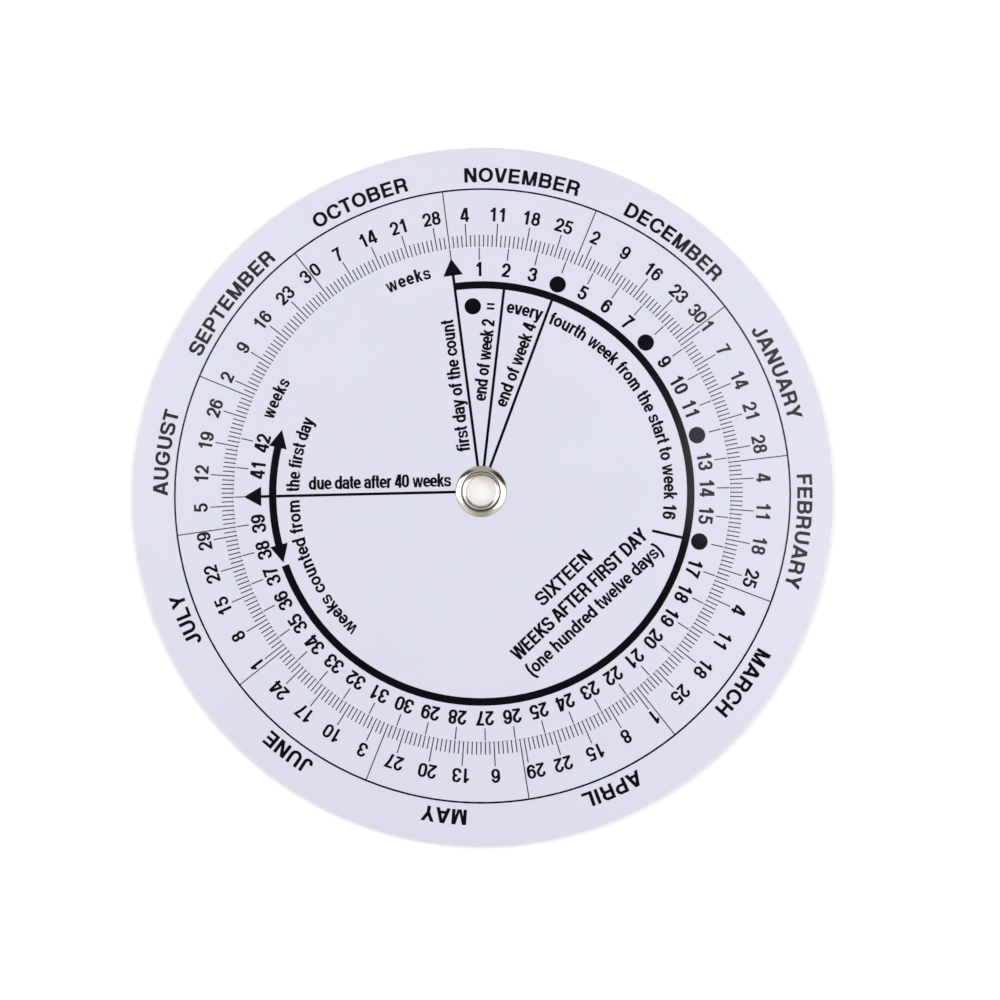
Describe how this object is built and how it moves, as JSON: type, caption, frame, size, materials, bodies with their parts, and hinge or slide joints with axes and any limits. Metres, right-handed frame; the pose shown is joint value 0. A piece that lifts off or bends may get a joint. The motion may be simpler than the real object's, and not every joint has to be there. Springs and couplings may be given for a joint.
{
  "type": "due date calculator wheel",
  "caption": "Flat due date wheel: a small week disc turns on a hollow eyelet over a larger date disc, so that pointers on it read off calendar dates.",
  "frame": {"origin": "on the eyelet's axis, level with the back flange that the wheel rests on when it lies face up", "axes": "+Z out of the printed faces along the eyelet's axis, +Y from the eyelet to the start pointer at rest, +X to the right of a reader"},
  "size_m": [0.127, 0.127, 0.0025],
  "materials": {
    "white_pvc": "satin",
    "black_ink": "satin",
    "nickel_plate": "polished"
  },
  "bodies": {
    "date_disc": {"date_disc": "white_pvc", "month_ring_print": "black_ink", "day_tick_print": "black_ink"},
    "week_disc": {"week_disc": "white_pvc", "week_tick_print": "black_ink", "term_band_print": "black_ink", "due_window_print": "black_ink", "marker_dot_print": "black_ink"},
    "eyelet": {"eyelet": "nickel_plate", "eyelet_washer": "nickel_plate"}
  },
  "joints": [
    {"name": "week_disc_turn", "type": "hinge", "parent": "date_disc", "child": "week_disc", "pos_m": [0, 0, 0.00138], "axis": [0, 0, 1], "continuous": true},
    {"name": "eyelet_turn", "type": "hinge", "parent": "date_disc", "child": "eyelet", "pos_m": [0, 0, 0.0013], "axis": [0, 0, 1], "continuous": true}
  ]
}
